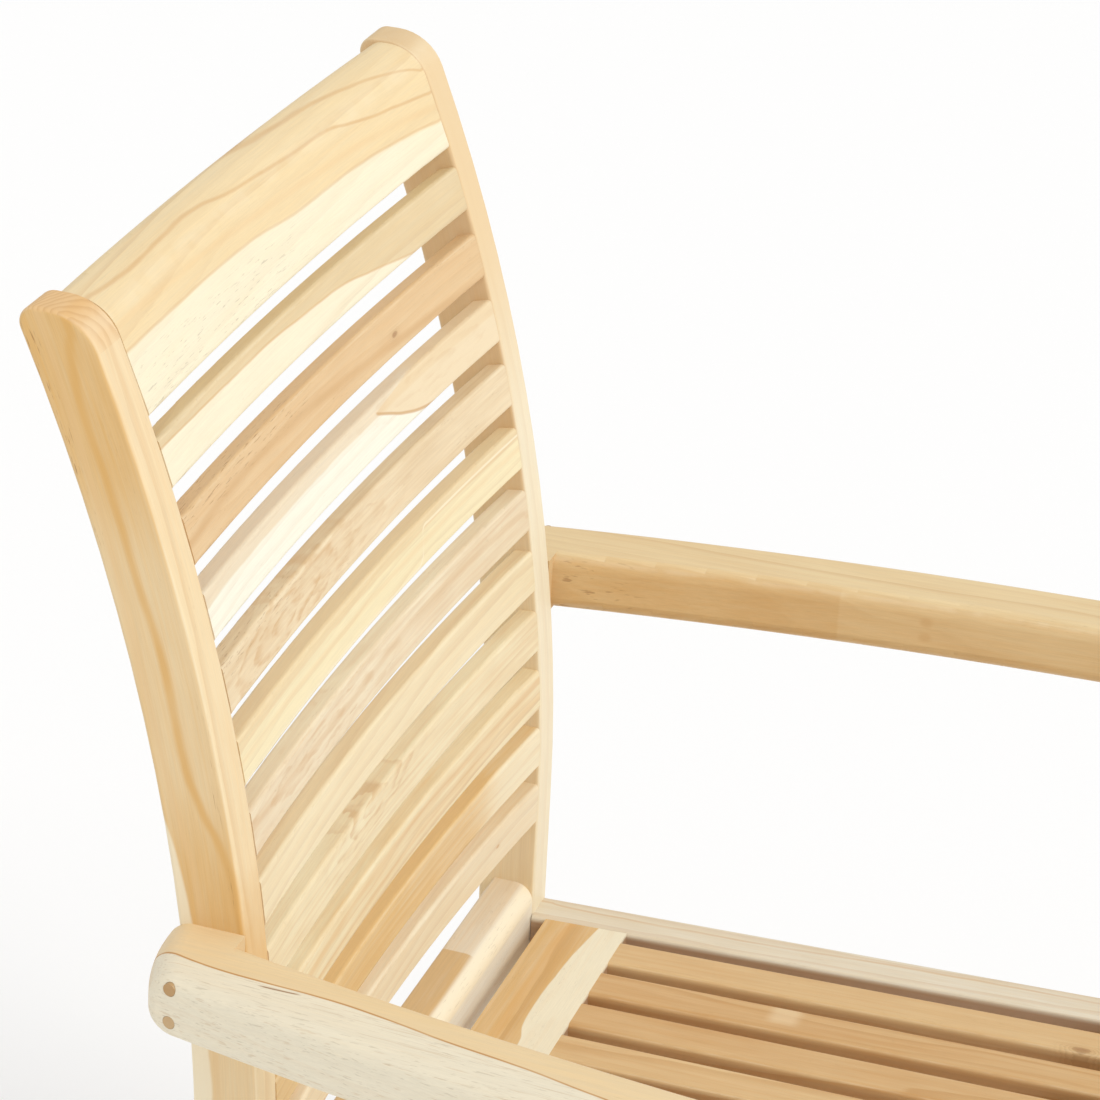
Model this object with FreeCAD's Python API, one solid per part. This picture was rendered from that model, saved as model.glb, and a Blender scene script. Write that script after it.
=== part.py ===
import FreeCAD, Part
import math
import os

# Slatted teak garden armchair seat.  Millimetres, +Z up, front toward -Y.
# Origin of the written parts: on the floor, at the middle of the overall width and depth.
# The functions below work from the front face of the rear legs (y = 0) at seat level.
# "left" is the sitter's left (+X); every right-hand part is its mirror image.

os.makedirs("parts", exist_ok=True)
V = FreeCAD.Vector

# ---- overall sizes -------------------------------------------------------
clear_width = 420.0        # between the two rear legs
seat_height = 440.0        # top of the seat
back_height = 996.0        # top of the rear legs
arm_height = 671.5         # top of the arms at the front legs
seat_depth = 430.0         # rear-leg front face to the front of the seat

# ---- rear legs -----------------------------------------------------------
leg_thick = 26.0           # across the seat
leg_depth = 36.5           # front to back
back_radius = 1210.0       # front curve of the backrest
back_bend_rise = 80.0      # the backrest curves from this far above the seat
foot_bend_drop = 40.0      # the foot curves from this far below the seat
foot_setback = 52.0        # how far the foot stands behind the seat joint
leg_top_round = 30.0
leg_top_back_round = 9.0
edge_round = 2.5

# ---- backrest ------------------------------------------------------------
slat_count = 11
slat_face = 27.0           # height of one slat
slat_thick = 13.0
slat_bow = 9.0             # hollow of the back, measured at mid width
slat_setback = 0.3         # slat face behind the leg face
slat_round = 2.5
slat_gap = 11.0            # top rail to first slat
last_gap = 45.0            # last slat to the lower rail
top_rail_drop = 1.5        # rail top below the leg tops
top_rail_height = 57.0
top_rail_thick = 32.0
top_rail_front_round = 26.0
top_rail_back_round = 9.0
low_rail_rise = 21.0       # lower rail above the seat
low_rail_height = 50.0
low_rail_thick = 27.0
low_rail_setback = 0.5
low_rail_front_round = 12.0

# ---- seat ----------------------------------------------------------------
splay = 3.9                # degrees, side rails opening toward the front
rail_thick = 26.0
rail_height = 58.0
rail_inset = 2.0           # rail outer face inside the leg outer face
seat_slat_count = 11
seat_slat_width = 27.0
seat_slat_thick = 18.0
seat_slat_round = 2.5
rear_board_gap = 9.5       # open space in front of the rear legs
rear_board_width = 52.0
rear_board_thick = 24.0
front_board_width = 46.0
front_board_thick = 34.0
front_board_round = 12.0
bearer_front = 54.0        # bearer behind the front edge of the seat
bearer_width = 36.0
bearer_height = 22.0

# ---- front legs and arms -------------------------------------------------
front_leg_thick = 29.5     # outside the rail face
front_leg_depth = 44.0
front_leg_front = 22.0     # leg face behind the front of the seat
leg_end_chamfer = 1.2
housing = 5.0              # rail let into the front leg
arm_width = 48.5
arm_thick = 36.5
arm_rear_over = 52.0       # arm end behind the leg front face
arm_rear_recede = 11.0     # the curved rear end falls back this far at its outer side
arm_front_over = 26.0      # arm end ahead of the front leg
arm_round = 8.5            # along the arm
arm_end_round = 15.0       # top and bottom of both ends
arm_tilt = 0.25            # degrees, rising to the rear
arm_bend_start = 300.0     # straight in front of this, curved behind it
arm_radius = 2430.0
plug_diameter = 7.0
plug_depth = 8.0
plug_spacing = 19.0
plug_from_end = 24.0
plug_raise = 2.5           # pair of plugs above the middle of the arm

# ---- joints --------------------------------------------------------------
tenon_fit = 0.15           # clearance on each tenon face
slat_tenon = 12.0          # length of a slat tenon
slat_tenon_thick = 8.0
slat_tenon_side = 4.0      # shoulder above and below
rail_tenon = 15.0
rail_tenon_thick = 12.0
rail_tenon_side = 9.0
seat_tenon = 9.0
seat_tenon_thick = 8.0
board_tenon_side = 8.0     # shoulder before and behind a board's tenon

# ---- working values ------------------------------------------------------
overlap = 2.0              # lets a tenon grow out of its own part
reach = 2000.0             # larger than the whole seat
same = 0.01                # lengths closer than this are equal
spare_sweep = 1.0          # degrees swept past each leg, then trimmed off
along = 0.9                # cosine that counts as running along a direction

back_bend_z = seat_height + back_bend_rise
foot_bend_z = seat_height - foot_bend_drop
low_rail_top = seat_height + low_rail_rise
half = clear_width / 2.0
leg_outer = half + leg_thick
rail_outer = leg_outer - rail_inset
rear_board_front = -(rear_board_gap + rear_board_width)
front_board_back = -(seat_depth - front_board_width)
slope = math.tan(math.radians(splay))
front_leg_axis = seat_depth - front_leg_front - front_leg_depth / 2.0


# ---- small tools ---------------------------------------------------------
def box(x0, x1, y0, y1, z0, z1, grow=0.0):
    g = grow
    return Part.makeBox(x1 - x0 + 2 * g, y1 - y0 + 2 * g, z1 - z0 + 2 * g,
                        V(x0 - g, y0 - g, z0 - g))


def mirrored(shape):
    return shape.mirror(V(0, 0, 0), V(1, 0, 0))


def both_sides(shape):
    return [shape, mirrored(shape)]


def line(a, b):
    return Part.makeLine(a, b)


def rounded_face(corners, radii):
    edges, ends = [], []
    n = len(corners)
    for i, corner in enumerate(corners):
        to_last = (corners[i - 1] - corner).normalize()
        to_next = (corners[(i + 1) % n] - corner).normalize()
        if radii[i] <= 0:
            ends.append((corner, corner, None))
            continue
        half_angle = to_last.getAngle(to_next) / 2.0
        cut = radii[i] / math.tan(half_angle)
        bisector = (to_last + to_next).normalize()
        centre = corner + bisector * (radii[i] / math.sin(half_angle))
        ends.append((corner + to_last * cut, corner + to_next * cut,
                     centre - bisector * radii[i]))
    for i, (start, end, middle) in enumerate(ends):
        if middle is not None:
            edges.append(Part.Arc(start, middle, end).toShape())
        edges.append(line(end, ends[(i + 1) % n][0]))
    return Part.Face(Part.Wire(Part.__sortEdges__(edges)))


def long_edges(shape, direction, least):
    picked = []
    for edge in shape.Edges:
        run = edge.Vertexes[-1].Point - edge.Vertexes[0].Point
        if run.Length > least and abs(run.normalize().dot(direction)) > along:
            picked.append(edge)
    return picked


def on_rail_line(shape):
    shape.rotate(V(0, 0, 0), V(0, 0, 1), splay)
    shape.translate(V(rail_outer, 0, 0))
    return shape


def rail_inner_x(y):
    return rail_outer - rail_thick / math.cos(math.radians(splay)) - y * slope


# ---- curve of the rear legs and the backrest -----------------------------
def front_y(z, offset=0.0):
    radius = back_radius - offset
    return back_radius - math.sqrt(radius ** 2 - (z - back_bend_z) ** 2)


def foot_radius():
    return (foot_bend_z ** 2 + foot_setback ** 2) / (2.0 * foot_setback)


def foot_y(z, offset=0.0):
    radius = foot_radius() - offset
    return foot_radius() - math.sqrt(radius ** 2 - (foot_bend_z - z) ** 2)


def lean(z):
    return math.asin((z - back_bend_z) / back_radius)


def curve_edge(height_of, z0, z1, offset):
    points = [V(0, height_of(z, offset), z) for z in (z0, (z0 + z1) / 2.0, z1)]
    return Part.Arc(*points).toShape()


def leg_blank():
    front = [curve_edge(foot_y, 0, foot_bend_z, 0),
             line(V(0, 0, foot_bend_z), V(0, 0, back_bend_z)),
             curve_edge(front_y, back_bend_z, back_height, 0)]
    rear = [curve_edge(front_y, back_height, back_bend_z, leg_depth),
            line(V(0, leg_depth, back_bend_z), V(0, leg_depth, foot_bend_z)),
            curve_edge(foot_y, foot_bend_z, 0, leg_depth)]
    top = line(V(0, front_y(back_height), back_height),
               V(0, front_y(back_height, leg_depth), back_height))
    foot = line(V(0, foot_y(0, leg_depth), 0), V(0, foot_y(0), 0))
    face = Part.Face(Part.Wire(front + [top] + rear + [foot]))
    solid = face.extrude(V(leg_thick, 0, 0))
    solid.translate(V(half, 0, 0))
    return solid


def rounded_leg():
    solid = leg_blank()
    for where, radius in ((0, leg_top_round), (1, leg_top_back_round)):
        across = [e for e in long_edges(solid, V(1, 0, 0), leg_thick / 2.0)
                  if abs(e.CenterOfMass.z - back_height) < same]
        across.sort(key=lambda e: e.CenterOfMass.y)
        solid = solid.makeFillet(radius, [across[0 if where == 0 else -1]])
    rim = [e for e in solid.Edges if e.BoundBox.XLength < same]
    return solid.makeFillet(edge_round, rim)


# ---- bowed members of the back -------------------------------------------
def bow_radius():
    return (half ** 2 + slat_bow ** 2) / (2.0 * slat_bow)


def bar_axes(z0, height, setback):
    tilt = lean(z0 + height / 2.0)
    up = V(0, math.sin(tilt), math.cos(tilt))
    back = V(0, math.cos(tilt), -math.sin(tilt))
    return V(0, front_y(z0), z0) + back * setback, up, back


def bowed_bar(z0, height, thick, setback, radii, back_rise=0.0):
    base, up, back = bar_axes(z0, height, setback)
    start = base + back * slat_bow
    corners = [start, start + back * thick,
               start + back * thick + up * (height + back_rise), start + up * height]
    face = rounded_face(corners, radii)
    centre = start - back * bow_radius()
    sweep = math.degrees(math.asin(half / bow_radius())) + spare_sweep
    face.rotate(centre, up, -sweep)
    bar = face.revolve(centre, up, 2.0 * sweep)
    return bar.common(box(-half, half, -reach, reach, 0, reach))


def bar_tenons(z0, height, thick, setback, length, size, side, grow=0.0):
    base, _, _ = bar_axes(z0, height, setback)
    block = box(half - (overlap if grow == 0 else 0), half + length,
                (thick - size) / 2.0, (thick + size) / 2.0,
                side, height - side, grow)
    block.rotate(V(0, 0, 0), V(1, 0, 0), -math.degrees(lean(z0 + height / 2.0)))
    block.translate(base)
    return both_sides(block)


def slat_bottom(i):
    first_top = back_height - top_rail_drop - top_rail_height - slat_gap
    first = first_top - slat_face * math.cos(lean(first_top))
    return first - i * (first - low_rail_top - last_gap) / (slat_count - 1)


def slat_sizes(i):
    return slat_bottom(i), slat_face, slat_thick, slat_setback


def back_slat(i):
    bar = bowed_bar(*slat_sizes(i), radii=[slat_round] * 4)
    return bar.fuse(slat_tenons(i)).removeSplitter()


def slat_tenons(i, grow=0.0):
    return bar_tenons(*slat_sizes(i), slat_tenon, slat_tenon_thick,
                      slat_tenon_side, grow)


def top_rail_sizes():
    z0 = back_height - top_rail_drop - top_rail_height
    height = top_rail_height / math.cos(lean(z0 + top_rail_height / 2.0))
    return z0, height, top_rail_thick, slat_setback


def top_rail_tenons(grow=0.0):
    return bar_tenons(*top_rail_sizes(), rail_tenon, rail_tenon_thick,
                      rail_tenon_side, grow)


def top_rail():
    z0, height = top_rail_sizes()[:2]
    radii = [slat_round, slat_round, top_rail_back_round, top_rail_front_round]
    level_top = top_rail_thick * math.tan(lean(z0 + height / 2.0))
    bar = bowed_bar(*top_rail_sizes(), radii=radii, back_rise=level_top)
    return bar.fuse(top_rail_tenons()).removeSplitter()


def low_rail_tenons(grow=0.0):
    y0 = low_rail_setback + (low_rail_thick - rail_tenon_thick) / 2.0
    block = box(half - (overlap if grow == 0 else 0), half + rail_tenon,
                y0, y0 + rail_tenon_thick,
                seat_height - overlap, low_rail_top - slat_tenon_side, grow)
    return both_sides(block)


def lower_back_rail():
    y0, y1 = low_rail_setback, low_rail_setback + low_rail_thick
    z0, z1 = low_rail_top - low_rail_height, low_rail_top
    corners = [V(-half, y0, z0), V(-half, y1, z0), V(-half, y1, z1), V(-half, y0, z1)]
    face = rounded_face(corners, [slat_round] * 3 + [low_rail_front_round])
    return face.extrude(V(clear_width, 0, 0)).fuse(low_rail_tenons()).removeSplitter()


# ---- side rails and seat frame -------------------------------------------
def side_rail_tenon(grow=0.0):
    x0 = half + (leg_thick - rail_tenon_thick) / 2.0
    z0, z1 = seat_height - rail_height + rail_tenon_side, seat_height - 2 * rail_tenon_side
    return box(x0, x0 + rail_tenon_thick, -overlap * 2 if grow == 0 else 0,
               rail_tenon, z0, z1, grow)


def side_rail_blank():
    z0 = seat_height - rail_height
    length = seat_depth / math.cos(math.radians(splay))
    bar = box(-rail_thick, 0, -length - rail_thick, rail_thick, z0, seat_height)
    bar = on_rail_line(bar)
    return bar.common(box(0, reach, -seat_depth, 0, 0, reach))


def side_rail():
    bar = side_rail_blank()
    bar = bar.makeFillet(edge_round, long_edges(bar, V(0, 1, 0), seat_depth / 2.0))
    bar = bar.fuse(side_rail_tenon()).removeSplitter()
    cuts = [board_tenons(*rear_board_sizes(), tenon_fit)[0],
            board_tenons(*front_board_sizes(), tenon_fit)[0],
            board_tenons(*bearer_sizes(), tenon_fit)[0]]
    return bar.cut(cuts)


def between_rails(y0, y1, z0, z1):
    corners = [V(-rail_inner_x(y0), y0, z0), V(rail_inner_x(y0), y0, z0),
               V(rail_inner_x(y1), y1, z0), V(-rail_inner_x(y1), y1, z0)]
    wire = Part.makePolygon(corners + corners[:1])
    return Part.Face(wire).extrude(V(0, 0, z1 - z0))


def rear_board_sizes():
    return rear_board_front, -rear_board_gap, seat_height - rear_board_thick, seat_height


def front_board_sizes():
    return -seat_depth, front_board_back, seat_height - front_board_thick, seat_height


def bearer_sizes():
    top = seat_height - seat_slat_thick
    back = -seat_depth + bearer_front + bearer_width
    return back - bearer_width, back, top - bearer_height, top


def board_tenons(y0, y1, z0, z1, grow=0.0):
    x_in, middle = rail_inner_x(y1), (z0 + z1) / 2.0
    block = box(x_in - overlap * 2, x_in + rail_tenon, y0 + board_tenon_side, y1 - board_tenon_side,
                middle - seat_tenon_thick / 2.0, middle + seat_tenon_thick / 2.0, grow)
    return both_sides(block)


def seat_board(sizes):
    y0, y1, z0, z1 = sizes
    return between_rails(y0, y1, z0, z1).fuse(board_tenons(*sizes)).removeSplitter()


def seat_back_board():
    board = seat_board(rear_board_sizes())
    return board.cut([slat_end_tenon(i, 1, tenon_fit) for i in seat_slat_places()])


def seat_front_board():
    board = seat_board(front_board_sizes())
    nose = [e for e in long_edges(board, V(1, 0, 0), clear_width / 2.0)
            if abs(e.CenterOfMass.y + seat_depth) < same
            and abs(e.CenterOfMass.z - seat_height) < same]
    board = board.makeFillet(front_board_round, nose)
    return board.cut([slat_end_tenon(i, 0, tenon_fit) for i in seat_slat_places()])


def seat_bearer():
    return seat_board(bearer_sizes())


# ---- seat slats ----------------------------------------------------------
def seat_slat_places():
    middle = (seat_slat_count - 1) / 2.0
    return [i - middle for i in range(seat_slat_count)]


def seat_slat_x(place, y):
    width = 2.0 * rail_inner_x(y)
    gap = (width - seat_slat_count * seat_slat_width) / (seat_slat_count + 1)
    return place * (seat_slat_width + gap)


def slat_end_tenon(place, rear, grow=0.0):
    y = rear_board_front if rear else front_board_back
    x = seat_slat_x(place, y)
    y0 = y - overlap if rear else y - seat_tenon
    y1 = y + seat_tenon if rear else y + overlap
    if grow:
        y0, y1 = (y, y1) if rear else (y0, y)
    side = seat_slat_width / 2.0 - slat_tenon_side
    z1 = seat_height - (seat_slat_thick - seat_tenon_thick) / 2.0
    return box(x - side, x + side, y0, y1, z1 - seat_tenon_thick, z1, grow)


def seat_slat(place):
    z0 = seat_height - seat_slat_thick
    rows = []
    for y in (rear_board_front, front_board_back):
        x = seat_slat_x(place, y)
        rows.append((V(x - seat_slat_width / 2.0, y, z0), V(x + seat_slat_width / 2.0, y, z0)))
    corners = [rows[0][0], rows[0][1], rows[1][1], rows[1][0]]
    slat = Part.Face(Part.makePolygon(corners + corners[:1])).extrude(V(0, 0, seat_slat_thick))
    top = [e for e in long_edges(slat, V(0, 1, 0), seat_depth / 2.0)
           if abs(e.CenterOfMass.z - seat_height) < same]
    slat = slat.makeFillet(seat_slat_round, top)
    return slat.fuse([slat_end_tenon(place, 0), slat_end_tenon(place, 1)]).removeSplitter()


# ---- legs ----------------------------------------------------------------
def rear_leg():
    cuts = [side_rail_tenon(tenon_fit), top_rail_tenons(tenon_fit)[0],
            low_rail_tenons(tenon_fit)[0]]
    cuts += [slat_tenons(i, tenon_fit)[0] for i in range(slat_count)]
    return rounded_leg().cut(cuts)


def front_leg():
    front = -front_leg_axis - front_leg_depth / 2.0
    leg = box(-housing, front_leg_thick, front, front + front_leg_depth, 0, arm_height)
    leg = leg.makeFillet(edge_round, long_edges(leg, V(0, 0, 1), arm_height / 2.0))
    ends = [e for e in leg.Edges if e.BoundBox.ZLength < same]
    leg = on_rail_line(leg.makeChamfer(leg_end_chamfer, ends))
    slot = on_rail_line(box(-rail_thick, 0, -reach, 0, seat_height - rail_height, seat_height))
    return leg.cut(slot)


# ---- arms ----------------------------------------------------------------
def arm_outline(offset):
    front = -(front_leg_axis + front_leg_depth / 2.0 + arm_front_over)
    x = front_leg_thick + offset
    radius = arm_radius + offset
    centre = V(x - radius, -arm_bend_start, 0)
    swing = (arm_bend_start + arm_rear_over + arm_width) / arm_radius
    points = [centre + V(math.cos(a), math.sin(a), 0) * radius
              for a in (0.0, swing / 2.0, swing)]
    return V(x, front, 0), points


def arm_band():
    inner_front, inner = arm_outline(0.0)
    outer_front, outer = arm_outline(arm_width)
    edges = [line(inner_front, inner[0]), Part.Arc(*inner).toShape(),
             line(inner[2], outer[2]), Part.Arc(*reversed(outer)).toShape(),
             line(outer[0], outer_front), line(outer_front, inner_front)]
    band = Part.Face(Part.Wire(edges)).extrude(V(0, 0, arm_thick))
    band.translate(V(0, 0, arm_height - arm_thick))
    return on_rail_line(band)


def arm_pad():
    return box(leg_outer - overlap, leg_outer + arm_width / 2.0,
               front_y(arm_height), arm_rear_over, arm_height - arm_thick, arm_height)


def behind_arm_end():
    """All that lies behind the arm's curved rear end."""
    radius = (arm_width ** 2 + arm_rear_recede ** 2) / (2.0 * arm_rear_recede)
    inside = Part.makeCylinder(radius, reach, V(leg_outer, arm_rear_over - radius, 0))
    return box(0, reach, arm_rear_over - arm_width, reach, 0, reach).cut(inside)


def arm_blank():
    wide = arm_band().fuse(arm_pad())
    wide = wide.cut([box(0, leg_outer - overlap, -reach, reach, 0, reach),
                     behind_arm_end()]).removeSplitter()
    ends = [e for e in wide.Edges if e.BoundBox.ZLength < same
            and e.BoundBox.XLength > arm_width / 2.0 > e.BoundBox.YLength]
    wide = wide.makeFillet(arm_end_round, ends)
    sides = [e for e in wide.Edges if e.BoundBox.ZLength < same
             and e.BoundBox.YLength > arm_width and e.BoundBox.XMax > leg_outer]
    return tilted(wide.makeFillet(arm_round, sides))


def tilted(shape):
    turn = math.radians(splay)
    across = V(math.cos(turn), math.sin(turn), 0)
    pivot = V(rail_outer + front_leg_axis * math.sin(turn),
              -front_leg_axis * math.cos(turn), arm_height)
    shape.rotate(pivot, across, arm_tilt)
    return shape


def arm_face_point(y):
    """A place on the outer face of the arm at depth y, and the way out of it."""
    turn, radius = math.radians(splay), arm_radius + arm_width
    centre = V(rail_outer, 0, 0) + turned(V(front_leg_thick - arm_radius, -arm_bend_start, 0), turn)
    straight = turned(V(front_leg_thick + arm_width, -arm_bend_start, 0), turn).y
    if y < straight:
        start = V(rail_outer, 0, 0) + turned(V(front_leg_thick + arm_width, 0, 0), turn)
        forward = turned(V(0, 1, 0), turn)
        return start + forward * ((y - start.y) / forward.y), turned(V(1, 0, 0), turn)
    angle = math.asin((y - centre.y) / radius)
    outward = V(math.cos(angle), math.sin(angle), 0)
    return centre + outward * radius, outward


def turned(point, angle):
    return V(point.x * math.cos(angle) - point.y * math.sin(angle),
             point.x * math.sin(angle) + point.y * math.cos(angle), 0)


def plug_places():
    spots = [arm_face_point(arm_rear_over - plug_from_end), arm_face_point(-front_leg_axis)]
    middle = arm_height - arm_thick / 2.0 + plug_raise
    return [(spot, middle + side * plug_spacing / 2.0)
            for spot in spots for side in (-1, 1)]


def plug(spot, z, grow=0.0):
    place, outward = spot
    start = V(place.x, place.y, z) - outward * plug_depth
    length = plug_depth + (overlap if grow else 0.0)
    return tilted(Part.makeCylinder(plug_diameter / 2.0 + grow, length, start, outward))


def arm():
    blank = arm_blank().cut(box(0, leg_outer, -reach, reach, 0, reach))
    return blank.cut([plug(spot, z, tenon_fit) for spot, z in plug_places()])


def arm_plugs():
    one_side = [plug(spot, z) for spot, z in plug_places()]
    return Part.makeCompound(one_side + [mirrored(p) for p in one_side])


# ---- write the parts -----------------------------------------------------
def pair(name, shape):
    return {name + "_left": shape, name + "_right": mirrored(shape)}


def all_parts():
    parts = {"arm_plugs": arm_plugs(), "top_rail": top_rail(),
             "lower_back_rail": lower_back_rail(), "seat_back_board": seat_back_board(),
             "seat_front_board": seat_front_board(), "seat_bearer": seat_bearer()}
    parts.update(pair("rear_leg", rear_leg()))
    parts.update(pair("front_leg", front_leg()))
    parts.update(pair("arm", arm()))
    parts.update(pair("side_rail", side_rail()))
    for i in range(slat_count):
        parts["back_slat_%02d" % (i + 1)] = back_slat(i)
    for i, place in enumerate(seat_slat_places()):
        parts["seat_slat_%02d" % (i + 1)] = seat_slat(place)
    return parts


def middle_y(parts):
    bounds = [shape.optimalBoundingBox(False, False) for shape in parts.values()]
    return (min(b.YMin for b in bounds) + max(b.YMax for b in bounds)) / 2.0


parts = all_parts()
to_centre = V(0, -middle_y(parts), 0)
for name, shape in parts.items():
    shape.translate(to_centre)
    shape.exportStep("parts/%s.step" % name)
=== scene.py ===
import math

import bpy
from mathutils import Matrix, Vector


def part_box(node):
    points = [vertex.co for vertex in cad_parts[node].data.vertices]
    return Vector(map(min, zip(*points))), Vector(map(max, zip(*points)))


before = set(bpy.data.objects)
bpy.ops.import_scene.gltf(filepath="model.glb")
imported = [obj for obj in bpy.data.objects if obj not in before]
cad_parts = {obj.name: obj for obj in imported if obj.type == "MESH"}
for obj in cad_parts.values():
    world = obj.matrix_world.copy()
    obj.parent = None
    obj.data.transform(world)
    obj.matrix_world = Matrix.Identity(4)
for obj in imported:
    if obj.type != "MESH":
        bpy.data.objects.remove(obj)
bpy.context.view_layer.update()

# ---- the chair's shape, read from the frame (millimetres) ------------------
MM = 1000.0


def span(node):
    low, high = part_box(node)
    return low * MM, high * MM


BACK_RADIUS = 1210.0                                  # curve of the backrest
BACK_BEND = 520.0                                     # it starts at this height
LEG_FRONT = span("lower_back_rail")[0].y - 0.5        # front face of the rear legs
SLAT_BOW = 9.0                                        # each slat's middle is this far forward
SEAT_TOP = span("seat_back_board")[1].z
LEG_OUT = span("rear_leg_left")[1].x
ARM_TOP = span("arm_left")[1].z
SPLAY = math.tan(math.radians(3.9))                   # the side rails open by this toward the front
ARM_SHARE = 0.75                                      # share of that splay along the arms' grain
SLAT_WIDTH = 27.0                                     # of one seat slat
TENON = 12.0                                          # of a back slat, into each post
SWEEP_TOP = 400.0                                     # below this the rear legs sweep back
SWEEP_RADIUS = 1565.0
CHORD = 0.985                                         # makes a parabola follow the back's arc
HALF = span("back_slat_01")[1].x - TENON              # half the clear width
BOW_RADIUS = (HALF ** 2 + SLAT_BOW ** 2) / (2.0 * SLAT_BOW)


# ---- numbers that vary over a surface --------------------------------------
class Val:
    """A node's output. Arithmetic on it adds Math nodes to the same tree."""

    def __init__(self, tree, socket):
        self.tree, self.socket = tree, socket

    def math(self, op, *others, clamp=False, flip=False):
        node = self.tree.nodes.new("ShaderNodeMath")
        node.operation, node.use_clamp = op, clamp
        values = [self] + list(others)
        if flip:
            values.reverse()
        for slot, value in zip(node.inputs, values):
            feed(self.tree, slot, value)
        return Val(self.tree, node.outputs[0])

    def __add__(self, o): return self.math("ADD", o)
    def __radd__(self, o): return self.math("ADD", o)
    def __sub__(self, o): return self.math("SUBTRACT", o)
    def __rsub__(self, o): return self.math("SUBTRACT", o, flip=True)
    def __mul__(self, o): return self.math("MULTIPLY", o)
    def __rmul__(self, o): return self.math("MULTIPLY", o)
    def __truediv__(self, o): return self.math("DIVIDE", o)
    def abs(self): return self.math("ABSOLUTE")
    def sqrt(self): return self.math("SQRT")
    def power(self, o): return self.math("POWER", o)
    def floor(self): return self.math("FLOOR")
    def fract(self): return self.math("FRACT")
    def more(self, o): return self.math("MAXIMUM", o)
    def clamp(self): return self.math("ADD", 0.0, clamp=True)

    def step(self, start, end):
        """0 before start, 1 after end, smooth between. end may be below start."""
        node = self.tree.nodes.new("ShaderNodeMapRange")
        node.interpolation_type = "SMOOTHSTEP"
        low, high = (start, end) if start < end else (end, start)
        outs = (0.0, 1.0) if start < end else (1.0, 0.0)
        feed(self.tree, node.inputs["Value"], self)
        for name, value in zip(("From Min", "From Max", "To Min", "To Max"), (low, high) + outs):
            node.inputs[name].default_value = value
        return Val(self.tree, node.outputs["Result"])

    def bell(self, centre, half, soft):
        """1 near centre, 0 further than half + soft from it."""
        away = (self - centre).abs()
        return away.step(half + soft, half)


def feed(tree, slot, value):
    if isinstance(value, Val):
        tree.links.new(value.socket, slot)
    else:
        slot.default_value = value


def join(tree, x, y, z):
    node = tree.nodes.new("ShaderNodeCombineXYZ")
    for slot, value in zip(node.inputs, (x, y, z)):
        feed(tree, slot, value)
    return Val(tree, node.outputs[0])


def split(tree, vector):
    node = tree.nodes.new("ShaderNodeSeparateXYZ")
    feed(tree, node.inputs[0], vector)
    return [Val(tree, s) for s in node.outputs]


def noise(tree, x, y, z, detail=2.0, rough=0.5, colour=False):
    node = tree.nodes.new("ShaderNodeTexNoise")
    node.inputs["Scale"].default_value = 1.0
    node.inputs["Detail"].default_value = detail
    node.inputs["Roughness"].default_value = rough
    feed(tree, node.inputs["Vector"], join(tree, x, y, z))
    return Val(tree, node.outputs["Color" if colour else 0])


def chance(tree, value):
    node = tree.nodes.new("ShaderNodeTexWhiteNoise")
    node.noise_dimensions = "1D"
    feed(tree, node.inputs["W"], value)
    return Val(tree, node.outputs["Value"])


def mix(tree, share, a, b, blend="MIX"):
    node = tree.nodes.new("ShaderNodeMix")
    node.data_type, node.blend_type = "RGBA", blend
    feed(tree, node.inputs[0], share)
    feed(tree, node.inputs[6], a)
    feed(tree, node.inputs[7], b)
    return Val(tree, node.outputs[2])


def rgb(r, g, b):
    """A display colour, 0 to 255, as a linear one."""
    def linear(c):
        c /= 255.0
        return c / 12.92 if c <= 0.04045 else ((c + 0.055) / 1.055) ** 2.4
    return (linear(r), linear(g), linear(b), 1.0)


# ---- teak -------------------------------------------------------------------
DULL = (0.965, 0.985, 0.985)                          # dry timber, a little duller than its palette


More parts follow.
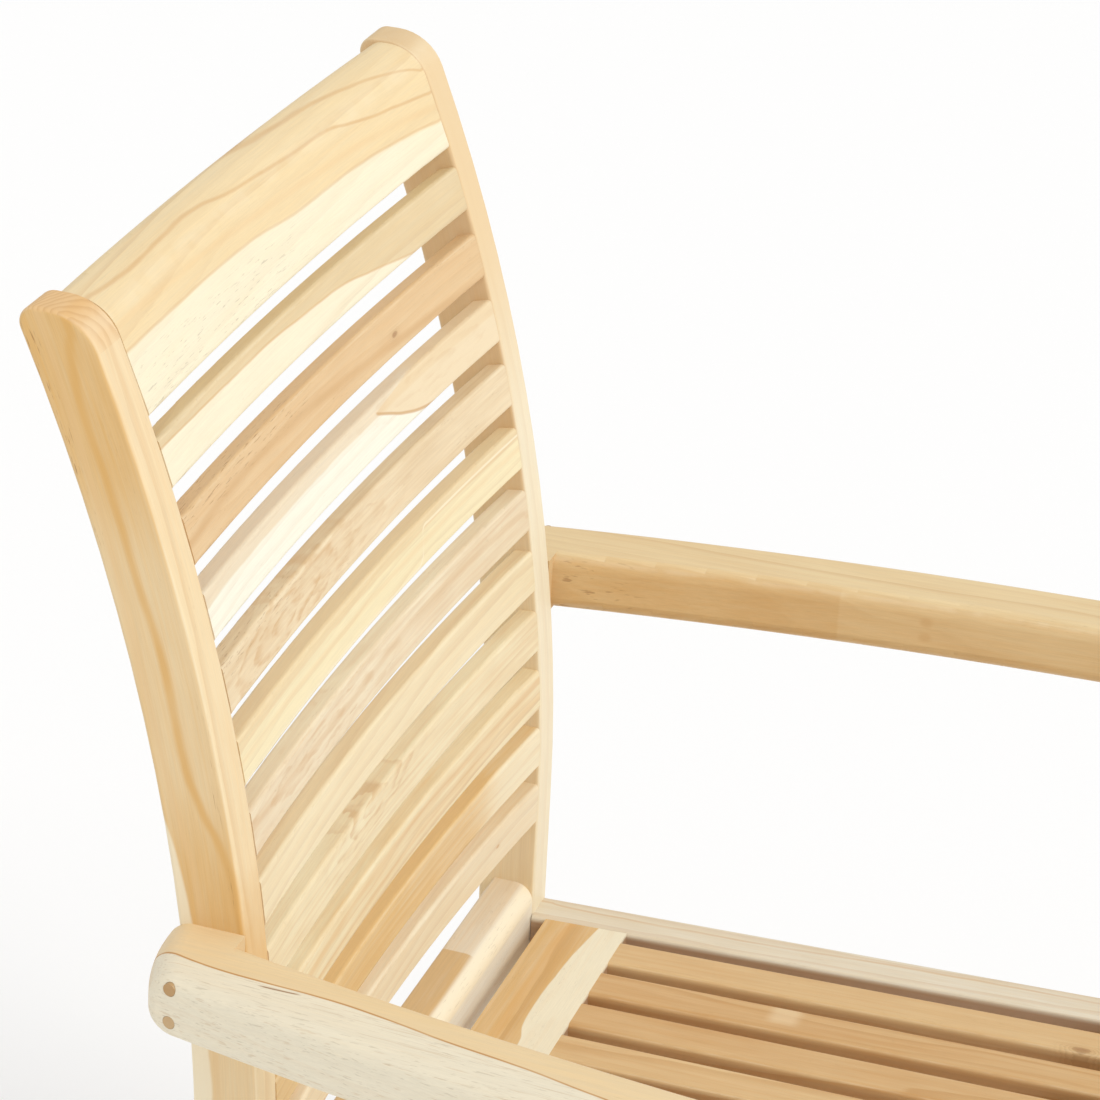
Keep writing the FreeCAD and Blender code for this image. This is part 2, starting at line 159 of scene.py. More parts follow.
def teak_group():
    """Growth rings round a pith, fibres, pores and mottling.

    Place, pith and wavelengths are in board coordinates: along, across and deep, in mm.
    """
    tree = bpy.data.node_groups.new("teak", "ShaderNodeTree")
    face = tree.interface
    ports = {"Place": "NodeSocketVector", "Pith": "NodeSocketVector", "Slope": "NodeSocketVector",
             "Seed": "NodeSocketFloat", "Ring": "NodeSocketFloat", "Zone": "NodeSocketFloat",
             "End": "NodeSocketFloat", "Lines": "NodeSocketFloat", "Pores": "NodeSocketFloat",
             "Mottle": "NodeSocketFloat", "Light": "NodeSocketColor", "Dark": "NodeSocketColor",
             "Line": "NodeSocketColor"}
    for name, kind in ports.items():
        face.new_socket(name, in_out="INPUT", socket_type=kind)
    for name, kind in (("Color", "NodeSocketColor"), ("Roughness", "NodeSocketFloat"),
                       ("Height", "NodeSocketFloat")):
        face.new_socket(name, in_out="OUTPUT", socket_type=kind)
    inside = tree.nodes.new("NodeGroupInput")
    port = {name: Val(tree, inside.outputs[name]) for name in ports}
    along, across, deep = split(tree, port["Place"])
    seed = port["Seed"]

    wander = noise(tree, along / 230.0 + seed, across / 42.0, deep / 42.0, 2.0, 0.45, True)
    w_across, w_deep, w_tone = split(tree, wander)
    _, pith_a, pith_d = split(tree, port["Pith"])
    _, slope_a, slope_d = split(tree, port["Slope"])
    ripple = noise(tree, along / 38.0 + seed, across / 7.0, deep / 7.0, 2.0, 0.5)
    from_a = across + (w_across - 0.5) * 20.0 - pith_a - slope_a * along
    from_d = deep + (w_deep - 0.5) * 20.0 - pith_d - slope_d * along
    turn = (from_a * from_a + from_d * from_d).sqrt() / port["Ring"] + (ripple - 0.5) * 0.24
    part = turn.fract()
    own = chance(tree, turn.floor() + seed)
    late = part.step(0.35, 0.93) * part.step(1.0, 0.94)
    line = (late * own.power(1.5) * port["Lines"]).clamp()

    fibre = noise(tree, along / 26.0 + seed, across * 1.3, deep * 1.3, 3.0, 0.65)
    streak = noise(tree, along / 95.0 + seed, across / 2.6, deep / 2.6, 3.0, 0.6)
    cloud = noise(tree, along / 55.0 - seed, across / 14.0, deep / 14.0, 2.0, 0.5)
    speck = noise(tree, along / 5.5 + seed, across * 2.1, deep * 2.1, 1.0, 0.4)
    where = noise(tree, along / 60.0, across / 9.0 + seed, deep / 9.0, 1.0, 0.5)
    pore = (speck.step(0.64, 0.74) * where.step(0.48, 0.70) * port["Pores"]).clamp()

    tone = (port["Zone"] + ((w_tone - 0.5) * 0.7 + (streak - 0.5) * 1.2 + (cloud - 0.5) * 0.7
                            + (part - 0.5) * 0.2 * port["Lines"]) * port["Mottle"]).clamp()
    colour = mix(tree, tone, port["Light"], port["Dark"])
    colour = mix(tree, line, colour, port["Line"])
    grey = 1.0 + (fibre - 0.5) * 0.20 + (streak - 0.5) * 0.10
    colour = mix(tree, 1.0, colour, join(tree, *[grey * share for share in DULL]), "MULTIPLY")
    deepest = mix(tree, 1.0, port["Line"], (0.42, 0.36, 0.30, 1.0), "MULTIPLY")
    colour = mix(tree, pore * 0.6, colour, deepest)
    ends = mix(tree, 0.35, port["Dark"], port["Line"])
    colour = mix(tree, port["End"] * 0.42, colour, ends)

    height = fibre * 0.55 + streak * 0.25 - pore * 0.9 - line * 0.25
    rough = 0.50 + (fibre - 0.5) * 0.22 + pore * 0.2 + port["End"] * 0.15
    outside = tree.nodes.new("NodeGroupOutput")
    for name, value in (("Color", colour), ("Roughness", rough), ("Height", height)):
        feed(tree, outside.inputs[name], value)
    return tree


TEAK = teak_group()
WHITE, CREAM, PALE = rgb(248, 242, 224), rgb(246, 234, 205), rgb(240, 220, 182)
AMBER, TAN, DEEP = rgb(230, 194, 142), rgb(224, 190, 142), rgb(219, 172, 108)
BROWN, DARK, SHADE = rgb(206, 164, 112), rgb(150, 104, 62), rgb(158, 108, 60)
FAINT, LINE, GREY = rgb(212, 168, 112), rgb(196, 146, 88), rgb(178, 164, 140)


class Board:
    """One board's material: its own place, seed, tones, grain and marks."""

    def __init__(self, name):
        self.name = name
        self.material = bpy.data.materials.new("wood_" + name)
        self.material.use_nodes = True
        self.tree = self.material.node_tree
        self.tree.nodes.clear()
        coords = self.tree.nodes.new("ShaderNodeTexCoord")
        point = self.tree.nodes.new("ShaderNodeVectorMath")
        point.operation = "SCALE"
        point.inputs["Scale"].default_value = MM
        self.tree.links.new(coords.outputs["Object"], point.inputs[0])
        self.x, self.y, self.z = split(self.tree, Val(self.tree, point.outputs[0]))
        self.normal = split(self.tree, Val(self.tree, coords.outputs["Normal"]))

    def lie(self, place, seed, grain):
        """Set the board's along, across and deep coordinates, its seed and its grain axis."""
        self.place, self.seed, self.grain = place, seed, grain
        self.along, self.across, self.deep = place

    def wood(self, light=PALE, dark=AMBER, line=LINE, zone=0.35, ring=7.0, pith=(0.0, -60.0, 40.0),
             slope=(0.0, 0.02, 0.03), lines=0.6, pores=0.4, mottle=1.0):
        tree = self.tree
        node = tree.nodes.new("ShaderNodeGroup")
        node.node_tree = TEAK
        end = self.normal["xyz".index(self.grain)].abs().step(0.70, 0.96)
        values = {"Place": join(tree, *self.place), "Pith": pith, "Slope": slope,
                  "Seed": self.seed * 7.31, "Ring": ring, "Zone": zone, "End": end, "Lines": lines,
                  "Pores": pores, "Mottle": mottle, "Light": light, "Dark": dark, "Line": line}
        for name, value in values.items():
            feed(tree, node.inputs[name], value)
        self.colour, self.rough, self.height = [
            Val(tree, node.outputs[n]) for n in ("Color", "Roughness", "Height")]

    def curve(self, value, points):
        """A smooth curve through (value, result) points, level outside them."""
        xs, ys = [p[0] for p in points], [p[1] for p in points]
        x0, x1, y0, y1 = min(xs), max(xs), min(ys), max(ys) + 1e-6
        node = self.tree.nodes.new("ShaderNodeFloatCurve")
        shape = node.mapping.curves[0]
        for _ in points[2:]:
            shape.points.new(0.5, 0.5)
        for spot, (x, y) in zip(shape.points, sorted(points)):
            spot.location = ((x - x0) / (x1 - x0), (y - y0) / (y1 - y0))
        node.mapping.update()
        feed(self.tree, node.inputs["Value"], ((value - x0) / (x1 - x0)).clamp())
        return Val(self.tree, node.outputs[0]) * (y1 - y0) + y0

    def jitter(self, size, along=30.0, across=12.0, shift=0.0):
        """A small wander of a drawn line, in mm."""
        wave = noise(self.tree, self.along / along + (self.seed * 3.7 + shift),
                     self.across / across, self.deep / across, 2.0, 0.55)
        return (wave - 0.5) * (2.0 * size)

    def paint(self, share, colour):
        self.colour = mix(self.tree, share, self.colour, colour)

    def vein(self, points, width, soft, colour, strength=1.0, wander=1.0, shift=0.0):
        """A line along the board through (along, across) points."""
        middle = self.curve(self.along, points) + self.jitter(wander, shift=shift)
        fade = noise(self.tree, self.along / 45.0 + shift, self.seed * 1.9, 0.0, 1.0, 0.5)
        share = (self.across - middle).abs().step(width + soft, width * 0.5)
        self.paint((share * (fade * 1.2 + 0.3).clamp() * strength).clamp(), colour)

    def dashes(self, where, colour, strength=0.7, length=9.0, thin=1.1):
        """Short dark checks along the grain, inside a region."""
        spots = noise(self.tree, self.along / length + self.seed, self.across * thin,
                      self.deep * thin, 2.0, 0.6)
        share = (spots.step(0.60, 0.70) * where * strength).clamp()
        self.paint(share, colour)
        self.height = self.height - share * 0.6

    def knot(self, along, across, size, colour=DARK, strength=0.8):
        """A small knot with darker rings and grain that flows round it."""
        a = (self.along - along) / 2.2
        b = self.across - across
        away = (a * a + b * b).sqrt() + self.jitter(size * 0.25, 6.0, 3.0)
        rings = (away / (size * 0.32)).fract().step(0.2, 0.9)
        self.paint((away.step(size * 2.4, size * 0.8) * rings * strength * 0.35).clamp(), colour)
        self.paint((away.step(size * 0.9, size * 0.35) * strength).clamp(), colour)

    def swirl(self, along, across, long, tall, colour, strength=0.35, ring=3.2, tilt=0.0):
        """Contour-like rings of figured grain round a place."""
        a = (self.along - along + self.jitter(9.0, 26.0, 9.0)) / (long / tall)
        b = self.across - across - (self.along - along) * tilt + self.jitter(4.0, 22.0, 8.0, 5.0)
        away = (a * a + b * b).sqrt()
        rings = (away / ring).fract()
        patchy = noise(self.tree, self.along / 24.0 + self.seed, self.across / 6.0, 0.0, 2.0, 0.6)
        share = (rings.step(0.2, 0.8) * rings.step(1.0, 0.88) * away.step(tall * 2.2, tall * 0.9)
                 * patchy.step(0.38, 0.62))
        self.paint((share * strength).clamp(), colour)

    def above(self, points, soft=1.0, wander=0.8, across=None):
        """1 on the far side of a line through (along, across) points, 0 on the near side."""
        middle = self.curve(self.along, points) + self.jitter(wander)
        return ((self.across if across is None else across) - middle).step(-soft, soft)

    def finish(self, bump=0.35):
        tree = self.tree
        # painted highlight: rounded edges (normals off the axes) are lightened toward cream in patches,
        # and the same mask makes them a little smoother
        flat = self.normal[0].abs().more(self.normal[1].abs()).more(self.normal[2].abs())
        highlight_patches = noise(tree, self.x / 19.0, self.y / 19.0, self.z / 19.0, 2.0, 0.6)
        edge_highlight = (flat.step(0.90, 0.74) * highlight_patches.step(0.30, 0.62) * 0.16).clamp()
        self.paint(edge_highlight, CREAM)
        shader = tree.nodes.new("ShaderNodeBsdfPrincipled")
        feed(tree, shader.inputs["Base Color"], self.colour)
        feed(tree, shader.inputs["Roughness"], (self.rough - edge_highlight * 0.5).clamp())
        shader.inputs["Specular IOR Level"].default_value = 0.32
        relief = tree.nodes.new("ShaderNodeBump")
        relief.inputs["Strength"].default_value = bump
        relief.inputs["Distance"].default_value = 0.0006
        feed(tree, relief.inputs["Height"], self.height)
        tree.links.new(relief.outputs[0], shader.inputs["Normal"])
        output = tree.nodes.new("ShaderNodeOutputMaterial")
        tree.links.new(shader.outputs[0], output.inputs["Surface"])
        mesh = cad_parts[self.name].data
        mesh.materials.clear()
        mesh.materials.append(self.material)


# ---- coordinates along and across each kind of board -----------------------
def lean(z):
    return math.asin((z - BACK_BEND) / BACK_RADIUS)


def bowed_board(name, seed):
    """Along, up the face, and behind the face of a bowed back member."""
    board = Board(name)
    low, high = span(name)
    middle = (low.z + high.z) / 2.0
    tilt = lean(middle)
    face = LEG_FRONT + BACK_RADIUS - math.sqrt(BACK_RADIUS ** 2 - (middle - BACK_BEND) ** 2)
    y, z = board.y - face, board.z - middle
    up = y * math.sin(tilt) + z * math.cos(tilt)
    back = y * math.cos(tilt) - z * math.sin(tilt)
    bow = SLAT_BOW - board.x * board.x / (2.0 * BOW_RADIUS)
    board.lie((board.x, up, back - bow), seed, "x")
    return board


def leg_board(name, side, seed):
    """Up the leg, behind its front curve, and in from its outer face."""
    board = Board(name)
    above = (board.z - BACK_BEND).more(0.0)
    below = (SWEEP_TOP - board.z).more(0.0)
    curve = above * above / (2.0 * BACK_RADIUS * CHORD) + below * below / (2.0 * SWEEP_RADIUS)
    board.lie((board.z, board.y - LEG_FRONT - curve, LEG_OUT - board.x * side), seed, "z")
    return board


def seat_slat_board(name, seed):
    """Along the slat, across from its fanned middle line, and down from the seat."""
    board = Board(name)
    low, high = span(name)
    middle = (low.x + high.x) / 2.0
    turn = 1 if middle > 1.0 else -1 if middle < -1.0 else 0
    fan = turn * (high.x - low.x - SLAT_WIDTH) / (high.y - low.y)
    across = board.x - middle + (board.y - (low.y + high.y) / 2.0) * fan
    board.lie((board.y, across, SEAT_TOP - board.z), seed, "y")
    return board


def side_board(name, side, seed, bend, top):
    """Along, outward from the leg, and down from the top of a rail or an arm."""
    board = Board(name)
    outward = board.x * side - LEG_OUT + (board.y - LEG_FRONT) * SPLAY * bend
    board.lie((board.y, outward, top - board.z), seed, "y")
    return board


def plain_board(name, seed, grain, place):
    """A straight board whose coordinates the caller gives."""
    board = Board(name)
    board.lie(place(board), seed, grain)
    return board


# ---- the back ---------------------------------------------------------------
def top_rail():
    b = bowed_board("top_rail", 20)
    heart = b.above([(-210, 11), (-140, 11), (-40, 10), (30, 5), (90, 4), (150, 0), (207, -6)], 1.6)
    b.wood(CREAM, rgb(239, 212, 165), zone=heart * 0.9 + 0.04, lines=0.28, pores=0.1, mottle=0.30,
           ring=9.0, pith=(0.0, 70.0, 60.0))
    b.vein([(-205, 42), (-164, 39.8), (-110, 40.6), (-72, 40.7), (-36, 37), (0, 34.5), (58, 31.5),
            (82, 31), (110, 26.4), (140, 21), (176, 16.3), (207, 12)], 0.4, 1.1, FAINT, 0.6, 0.6)
    b.vein([(-60, 50), (0, 48), (45, 45.5), (104, 43.6), (138, 40.6), (160, 37.7), (188, 32.3),
            (207, 26)], 0.4, 1.0, FAINT, 0.55, 0.6, shift=4.0)
    b.vein([(-205, 12), (-160, 11.5), (-96, 11.2), (-36, 10), (30, 5), (90, 4.4), (150, 1), (207, -5)],
           0.4, 1.0, FAINT, 0.4, 0.6, shift=9.0)
    b.vein([(-205, 25), (-150, 24), (-60, 21), (40, 16), (120, 12), (207, 3)], 0.5, 3.0,
           AMBER, 0.35, shift=15.0)
    low = b.across.step(8.0, -2.0) * b.along.step(60.0, -40.0)
    b.dashes(low, GREY, 0.45, 12.0)
    b.finish()


SLATS = {   # light, dark, zone on the front, zone added on the top face, lines, mottle
    1: (CREAM, rgb(226, 200, 156), 0.0, 0.3, 0.15, 0.35),
    2: (rgb(233, 202, 158), rgb(222, 183, 134), 0.5, 0.2, 0.3, 0.9),
    3: (WHITE, TAN, 0.0, 0.7, 0.12, 0.15),
    4: (rgb(240, 219, 184), rgb(218, 188, 146), 0.3, 0.3, 0.2, 1.2),
    5: (rgb(244, 228, 188), rgb(226, 192, 144), 0.0, 0.5, 0.2, 0.3),
    6: (rgb(242, 226, 196), rgb(224, 196, 160), 0.4, -0.1, 0.2, 1.2),
    7: (rgb(243, 226, 190), rgb(228, 196, 148), 0.1, 0.4, 0.2, 0.5),
    8: (rgb(243, 228, 192), rgb(224, 190, 142), 0.25, 0.0, 0.25, 1.1),
    9: (rgb(243, 228, 192), rgb(226, 190, 136), 0.25, 0.1, 0.35, 0.9),
    10: (rgb(244, 230, 198), rgb(226, 188, 130), 0.1, 0.7, 0.25, 0.7),
    11: (rgb(243, 228, 198), rgb(228, 198, 154), 0.3, 0.3, 0.2, 0.8)}


def back_slats():
    for i, (light, dark, zone, top, lines, mottle) in SLATS.items():
        b = bowed_board("back_slat_%02d" % i, i + 0.4)
        upper = b.deep.step(1.2, 3.0) * top
        if i == 1:                                    # heartwood down to a line across the slat
            upper = b.above([(-207, 12), (-173, 11), (-93, 10.3), (-54, 10.2), (-8, 8), (35, 6.4),
                             (80, 0.5), (123, -6.3), (165, -12), (207, -18)], 0.5, 0.5) * 0.95
        if i in (3, 5):                               # a darker strip along the upper edge
            upper = b.above([(-207, 7), (-60, 9), (60, 9), (207, 8)], 0.9, 0.9) * 0.5
        if i == 10:                                   # heartwood but for the left end
            upper = upper + b.along.step(165.0, 95.0) * 0.75
        pith = (0.0, 60.0 if i % 2 else -55.0, 20.0 + 17.0 * (i % 3))
        b.wood(light, dark, zone=upper + zone, lines=lines, mottle=mottle, pith=pith, ring=5.0 + i % 4,
               pores=0.35 if i in (2, 4, 6) else 0.15)
        if i in SLAT_MARKS:
            SLAT_MARKS[i](b)
        b.finish()


def marks_1(b):
    """The line where the heartwood ends."""
    b.vein([(-207, 12), (-93, 10.3), (-54, 10.2), (-8, 8), (35, 6.4), (80, 0.5), (123, -6.3),
            (207, -18)], 0.3, 0.8, FAINT, 0.55, 0.5)


def marks_2(b):
    """Dark checks, a brown streak and a small knot."""
    b.dashes(b.across.step(2.0, 9.0) * b.along.step(0.0, -80.0), DARK, 0.55, 14.0)
    b.vein([(-207, 2), (-100, 6), (0, 2), (100, -4), (207, -10)], 0.8, 3.6, BROWN, 0.6)
    b.knot(88.0, 1.0, 2.4, DARK, 0.6)


def marks_3(b):
    """A pointed figure of heartwood that opens toward the left end."""
    top = b.curve(b.along, [(43, 11.4), (66, 14.0), (100, 16.5), (207, 18)])
    low = b.curve(b.along, [(43, 11.4), (60, 5.0), (77, -1.4), (105, -8.5), (140, -12.5), (207, -16)])
    inside = ((b.across - low).step(-0.4, 0.4) * (top - b.across).step(-0.4, 0.4)
              * b.along.step(42.0, 44.0))
    b.paint(inside * 0.75, rgb(233, 208, 165))
    edge = (b.across - low).abs().step(1.5, 0.3) * b.along.step(42.0, 46.0)
    b.paint((edge * 0.8).clamp(), BROWN)
    b.swirl(120.0, 9.0, 70.0, 9.0, BROWN, 0.16, 5.0, -0.06)


def marks_4(b):
    """Figured grain toward the right."""
    b.swirl(-118.0, 2.0, 60.0, 11.0, BROWN, 0.55, 5.0, 0.06)
    b.swirl(-40.0, 4.0, 70.0, 8.0, BROWN, 0.3, 4.4)
    b.dashes(b.across.step(4.0, 10.0) * b.along.step(-60.0, -120.0), DARK, 0.4, 9.0)


def marks_5(b):
    """A pale hook in the grain."""
    b.vein([(60, -9), (67, -4.6), (70, 2), (71.7, 9.2), (80, 11)], 0.3, 0.9, CREAM, 0.9, 0.3)
    b.vein([(-207, 2), (207, 3)], 0.6, 2.5, AMBER, 0.3, shift=3.0)


def marks_6(b):
    """A brown streak and faint figure."""
    b.vein([(-207, 6), (-60, 2), (60, 6), (207, 0)], 0.8, 3.0, BROWN, 0.35)
    b.swirl(-100.0, 3.0, 80.0, 8.0, BROWN, 0.35, 4.2)


def marks_8(b):
    """A figured patch near the middle."""
    b.swirl(-35.0, 11.0, 44.0, 9.0, BROWN, 0.5, 4.4, 0.08)


def marks_9(b):
    """Two amber streaks."""
    b.vein([(-207, 2), (-100, 5), (0, 8), (100, 6), (207, 8)], 1.0, 3.0, DEEP, 0.4)
    b.vein([(-207, -8), (-80, -6), (60, -3), (207, -2)], 0.8, 2.5, DEEP, 0.3, shift=7.0)


def marks_11(b):
    """A small knot."""
    b.knot(149.0, 1.2, 1.7, BROWN, 0.7)


SLAT_MARKS = {1: marks_1, 2: marks_2, 3: marks_3, 4: marks_4, 5: marks_5, 6: marks_6, 8: marks_8,
              9: marks_9, 11: marks_11}


def lower_rail():
    """Pale front with a cream band; the top is tan, and paler past a glue line near its left end."""
    b = plain_board("lower_back_rail", 21, "x", lambda p: (p.x, p.z - SEAT_TOP, p.y - LEG_FRONT))
    top = b.across.step(18.6, 20.6)
    block = b.along.step(118.6, 117.2)
    band = b.across.step(7.0, 10.5) * (1.0 - top)
    rear = b.normal[1].step(0.4, 0.8)
    b.wood(rgb(243, 234, 216), rgb(214, 176, 124), zone=top * (0.5 + block * 0.5) + rear * 0.45,
           lines=0.25, pores=0.35, mottle=0.5)
    b.paint(band * 0.85, CREAM)
    b.dashes(band * 0.6, GREY, 0.5, 10.0)
    b.finish()


# ---- the seat ---------------------------------------------------------------
def seat_boards():
    b = plain_board("seat_back_board", 45, "x", lambda p: (p.x, p.y - LEG_FRONT, SEAT_TOP - p.z))
    sap = b.above([(-207, -41), (0, -43), (72, -40.4), (105, -35.5), (150, -37), (192, -41), (215, -44)],
                  0.5, 0.5)
    b.wood(rgb(243, 232, 206), rgb(220, 178, 118), zone=sap * 0.85, lines=0.55, ring=9.0, mottle=0.45)
    b.vein([(-207, -30), (0, -27), (130, -24), (207, -27)], 1.2, 3.5, DEEP, 0.6)
    # painted shade: the front face below the top, where the gaps between the seat slats end, is darkened
    edge = b.normal[1].step(-0.4, -0.8) * b.deep.step(1.0, 3.0)
    b.paint((edge * 0.8).clamp(), SHADE)
    b.finish()
    b = plain_board("seat_front_board", 46, "x", lambda p: (p.x, p.y - LEG_FRONT, SEAT_TOP - p.z))
    b.wood(PALE, TAN, zone=0.4, mottle=0.9)
    b.finish()
    b = plain_board("seat_bearer", 47, "x", lambda p: (p.x, p.y - LEG_FRONT, SEAT_TOP - p.z))
    b.wood(TAN, BROWN, zone=0.4)
    b.finish()


SEAT_TONES = (0.35, 0.7, 0.2, 0.5, 0.8, 0.4, 0.6, 0.3, 0.55, 0.65, 0.35)   # heartwood share of each slat


def seat_slats():
    for i, tone in enumerate(SEAT_TONES, 1):
        b = seat_slat_board("seat_slat_%02d" % i, i + 30.7)
        b.wood(rgb(226, 194, 146), rgb(206, 160, 106), zone=tone, lines=0.5, ring=5.0 + i % 3,
               pith=(0.0, -40.0 + 9.0 * (i % 5), 45.0), pores=0.35, mottle=0.9)
        if i == 10:
            patch = (b.along + 32.0).abs().step(13.0, 4.0) * b.across.step(-9.0, -1.0)
            b.paint((patch * 0.45).clamp(), PALE)
        # painted shade on each slat's sides below the top, where the gaps between the slats are in
        # shadow
        shaded_sides = b.normal[0].abs().step(0.6, 0.9) * b.deep.step(1.5, 6.0)
        b.paint((shaded_sides * 0.5).clamp(), SHADE)
        if i == 11:
            b.knot(-207.0, -10.0, 4.0, DARK, 0.6)
        b.finish()


# ---- the sides --------------------------------------------------------------
def rear_leg_right():
    """Amber outside with a long vein, sapwood low on the rear edge, end grain on the crown."""
    b = leg_board("rear_leg_right", -1, 59)
    front = b.normal[1].step(-0.35, -0.75)
    outer = (b.normal[0] * -1.0).step(0.35, 0.75)
    pale = outer * (0.3 - b.along.bell(815.0, 45.0, 75.0) * 0.45)
    low = b.along.step(640.0, 610.0)
    b.wood(rgb(241, 218, 178), rgb(226, 181, 116), zone=0.55 + pale - front * 0.45 - low * 0.5,
           lines=0.25, ring=9.0, pith=(0.0, -70.0, 30.0), mottle=0.55, pores=0.2)
    b.vein([(585, -14), (640, 1), (696, 3), (713, 5), (743, 14.5), (771, 18.9), (799, 18.6),
            (827, 18.2), (855, 20.5), (878, 21.4), (911, 21.3), (943, 22.7), (964, 20.3), (985, 14)],
           0.8, 3.6, rgb(220, 172, 100), 0.8, 1.2)
    b.vein([(400, 24), (640, 22), (700, 24), (760, 30), (840, 32), (900, 31), (990, 28)],
           0.6, 3.0, AMBER, 0.5, shift=6.0)
    b.dashes(b.across.step(31.0, 35.0) * b.along.step(860.0, 890.0), DARK, 0.6, 12.0)
    sap = (b.across - b.curve(b.along, [(400, 26), (640, 27), (700, 31), (735, 37), (800, 60)])
           - b.jitter(1.0)).step(-1.0, 1.0)
    b.paint((sap * 0.8).clamp(), CREAM)
    b.dashes(b.across.bell(4.6, 0.7, 0.9) * b.along.step(680.0, 700.0) * b.along.step(830.0, 790.0),
             DARK, 0.8, 18.0)
    crown = b.normal[2].step(0.25, 0.6)
    b.paint((crown * 0.6).clamp(), rgb(232, 192, 140))
    arcs = ((b.across * b.across * 0.05 + b.deep) / 8.0 + b.jitter(0.5)).fract()
    b.paint((arcs.step(0.3, 0.9) * arcs.step(1.0, 0.92) * crown * 0.32).clamp(), LINE)
    b.finish()


def rear_leg_left():
    """Pale front that turns amber toward the top, and painted shade on the inner face between the slats.
    """
    b = leg_board("rear_leg_left", 1, 61)
    front = b.normal[1].step(-0.35, -0.75)
    inner = (b.normal[0] * -1.0).step(0.4, 0.8)
    b.wood(rgb(243, 229, 200), rgb(226, 196, 150), zone=0.75 - front * 0.72, lines=0.2,
           ring=10.0, mottle=0.4, pores=0.15)
    b.paint((front * b.along.step(740.0, 900.0) * 0.85).clamp(), rgb(230, 200, 152))
    # painted shade: the inner face is darkened brown above about 640 mm, where it shows in shadow
    # between the back slats
    b.paint((inner * b.along.step(640.0, 780.0) * 0.5).clamp(), BROWN)
    b.finish()


def front_legs():
    for side, name in ((-1, "front_leg_right"), (1, "front_leg_left")):
        b = plain_board(name, 64 + side, "z", lambda p: (p.z, p.y, p.x * side - LEG_OUT))
        b.wood(PALE, AMBER, zone=0.4, lines=0.4, mottle=0.9)
        b.finish()


def arm_right():
    """Two boards glued on a line: amber inside, pale and weathered outside, with one crack."""
    b = side_board("arm_right", -1, 67, ARM_SHARE, ARM_TOP)
    glue = [(-190, 80), (-80, 60), (-44, 54.2), (-11, 48.7), (28, 44.5), (67, 38.6), (95, 35.8),
            (132, 35.5), (150, 35.3), (169, 33.5), (189, 29.6), (200, 27)]
    outer = b.above(glue, 0.3, 0.25)
    pale = rgb(238, 226, 202)
    b.wood(pale, rgb(236, 206, 158), zone=(1.0 - outer) * 0.9, lines=0.15, mottle=0.25, pores=0.2,
           ring=8.0, pith=(0.0, 20.0, 90.0))
    b.dashes(outer, GREY, 0.35, 11.0, 0.9)
    b.dashes(outer, rgb(216, 196, 166), 0.6, 40.0, 0.7)
    b.vein(glue, 0.3, 0.7, LINE, 1.2, 0.25)
    crack = (b.across - b.curve(b.along, [(112, 38.2), (120, 38.9), (132, 39.4)])).abs().step(0.9, 0.2)
    b.paint((crack * b.along.step(109.0, 114.0) * b.along.step(134.0, 129.0) * 0.85).clamp(), DARK)
    b.finish()


def arm_left():
    """Light top, amber inner face with a glue line and two small stains."""
    b = side_board("arm_left", 1, 69, ARM_SHARE, ARM_TOP)
    inner = (b.normal[0] * -1.0).step(0.1, 0.8)
    block = b.along.step(-16.0, -18.0)
    b.wood(rgb(234, 208, 162), rgb(210, 168, 112), zone=0.12 + inner * 0.62 - block * inner * 0.2,
           lines=0.4, ring=8.0, mottle=0.5, pores=0.2)
    b.dashes(inner * b.along.step(85.0, 125.0), DARK, 0.5, 16.0, 0.5)
    for down in (13.5, 23.5):
        beside, below = (b.along + 70.0) / 1.3, b.deep - down
        away = (beside * beside + below * below).sqrt()
        b.paint((away.step(4.5, 1.2) * inner * 0.5).clamp(), BROWN)
    b.finish()


def side_rails():
    for side, name in ((-1, "side_rail_right"), (1, "side_rail_left")):
        b = side_board(name, side, 72 + side, 1.0, SEAT_TOP)
        outer = (b.normal[0] * side).step(0.4, 0.8)
        b.wood(rgb(233, 223, 205), rgb(217, 194, 156), zone=0.3 + outer * 0.5, lines=0.35, mottle=0.8,
               pores=0.35)
        b.vein([(-260, -14), (-100, -9), (20, -12), (140, -8)], 0.4, 1.2, BROWN, 0.5)
        # painted shade on the inner face below the top, in the gap beside the seat slats
        inner = (b.normal[0] * -side).step(0.6, 0.9) * b.deep.step(1.5, 5.0)
        b.paint((inner * 0.7).clamp(), SHADE)
        b.finish()


def plugs():
    b = plain_board("arm_plugs", 80, "x", lambda p: (p.x, p.y, p.z))
    upper = b.z.step(655.0, 657.0)
    b.wood(rgb(216, 190, 150), rgb(188, 150, 104), zone=0.1 + upper * 0.8, lines=0.3, mottle=0.5)
    b.finish()


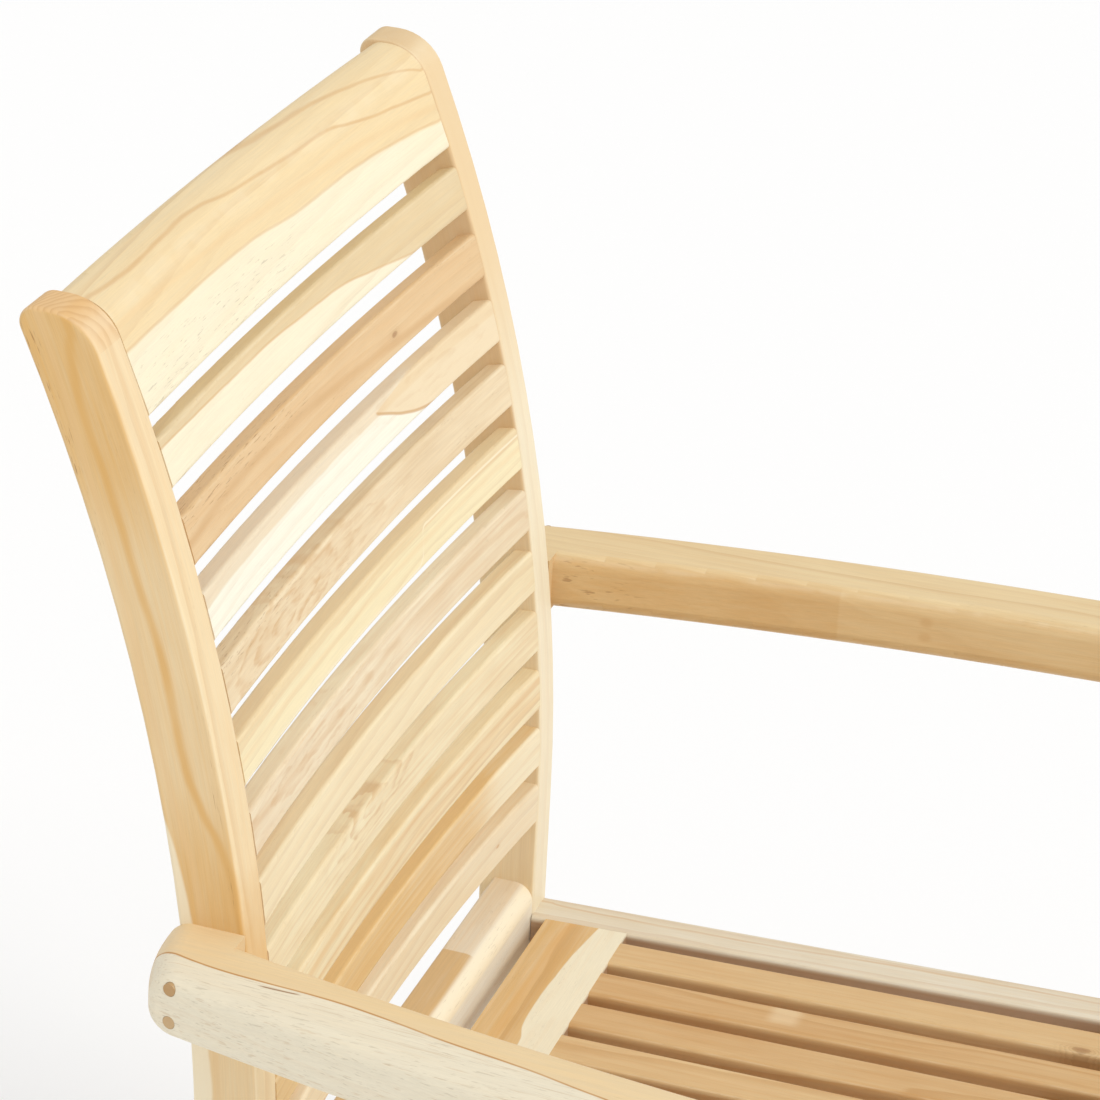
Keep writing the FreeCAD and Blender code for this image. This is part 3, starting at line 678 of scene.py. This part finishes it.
top_rail()
back_slats()
lower_rail()
seat_boards()
seat_slats()
rear_leg_right()
rear_leg_left()
front_legs()
arm_right()
arm_left()
side_rails()
plugs()


# ---- studio -----------------------------------------------------------------
def floor():
    mesh = bpy.data.meshes.new("floor")
    half = 60.0                                       # metres
    mesh.from_pydata([(-half, -half, 0), (half, -half, 0), (half, half, 0), (-half, half, 0)], [],
                     [(0, 1, 2, 3)])
    obj = bpy.data.objects.new("floor", mesh)
    bpy.context.scene.collection.objects.link(obj)
    material = bpy.data.materials.new("floor")
    material.use_nodes = True
    shader = material.node_tree.nodes["Principled BSDF"]
    shader.inputs["Base Color"].default_value = (0.96, 0.96, 0.96, 1.0)
    shader.inputs["Roughness"].default_value = 0.9
    mesh.materials.append(material)


def sun(name, toward, strength, spread, colour):
    """A broad, even light from the given direction."""
    data = bpy.data.lights.new(name, "SUN")
    data.energy, data.angle, data.color = strength, math.radians(spread), colour
    obj = bpy.data.objects.new(name, data)
    obj.rotation_euler = Vector(toward).to_track_quat("Z", "Y").to_euler()
    bpy.context.scene.collection.objects.link(obj)


def studio():
    floor()
    world = bpy.data.worlds.new("studio")
    world.use_nodes = True
    sky = world.node_tree.nodes["Background"]
    sky.inputs["Color"].default_value = (1.0, 1.0, 1.0, 1.0)
    sky.inputs["Strength"].default_value = 0.76
    bpy.context.scene.world = world
    sun("key", (-1.0, -2.8, 2.8), 1.28, 35.0, (1.0, 0.99, 0.97))
    bpy.context.scene.view_settings.view_transform = "Standard"


def camera():
    """A long lens in front of the sitter's right, looking down at the back and the seat."""
    data = bpy.data.cameras.new("camera")
    data.sensor_width, data.lens = 36.0, 129.87
    obj = bpy.data.objects.new("camera", data)
    right = Vector((0.32536679, -0.94437384, 0.04790098))
    up = Vector((0.39883337, 0.18298899, 0.89858053))
    back = -Vector((0.8573613, 0.27326375, -0.43618634))
    turn = Matrix((right, up, back)).transposed().to_4x4()
    place = (-1.82712, -0.50083, 1.73038)
    obj.matrix_world = Matrix.Translation(place) @ turn
    bpy.context.scene.collection.objects.link(obj)
    bpy.context.scene.camera = obj


studio()
camera()
